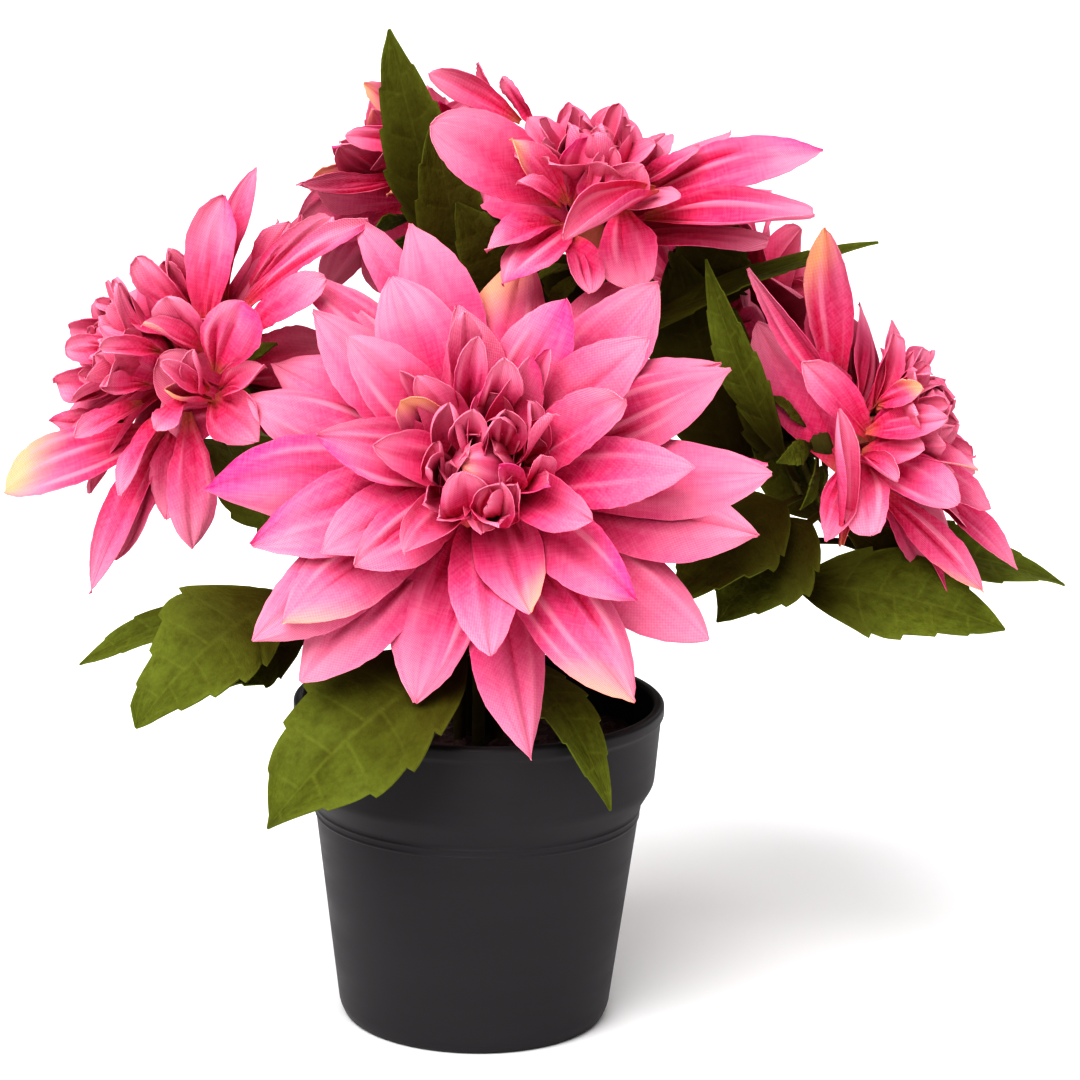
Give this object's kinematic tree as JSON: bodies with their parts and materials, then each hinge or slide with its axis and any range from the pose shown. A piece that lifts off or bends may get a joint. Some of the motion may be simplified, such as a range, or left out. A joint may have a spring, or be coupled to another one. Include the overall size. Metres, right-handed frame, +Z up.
{
  "type": "artificial potted chrysanthemum",
  "caption": "Artificial chrysanthemum with layered pink fabric blooms on leafy stems that stand in a soil-like filling in a tapered black plastic pot.",
  "frame": {"origin": "centre of the pot's flat underside, on the plane that it rests on", "axes": "+Z up along the pot's axis, -Y the front that the largest bloom faces, +X to the right as seen from the front"},
  "size_m": [0.2494, 0.1751, 0.2391],
  "materials": {
    "pot": "satin black",
    "soil": "rough, granular, dull brown",
    "leaf": "printed woven fabric, olive green",
    "petal": "printed woven fabric, pink"
  },
  "bodies": {
    "root": {"pot": "pot", "soil": "soil", "leafy_stem_front": "leaf", "leafy_stem_top": "leaf", "leafy_stem_left": "leaf", "leafy_stem_right": "leaf", "leafy_stem_back_left": "leaf", "leafy_stem_back_right": "leaf", "bloom_front": "petal", "bloom_top": "petal", "bloom_left": "petal", "bloom_right": "petal", "bloom_back_left": "petal", "bloom_back_right": "petal"}
  },
  "joints": []
}
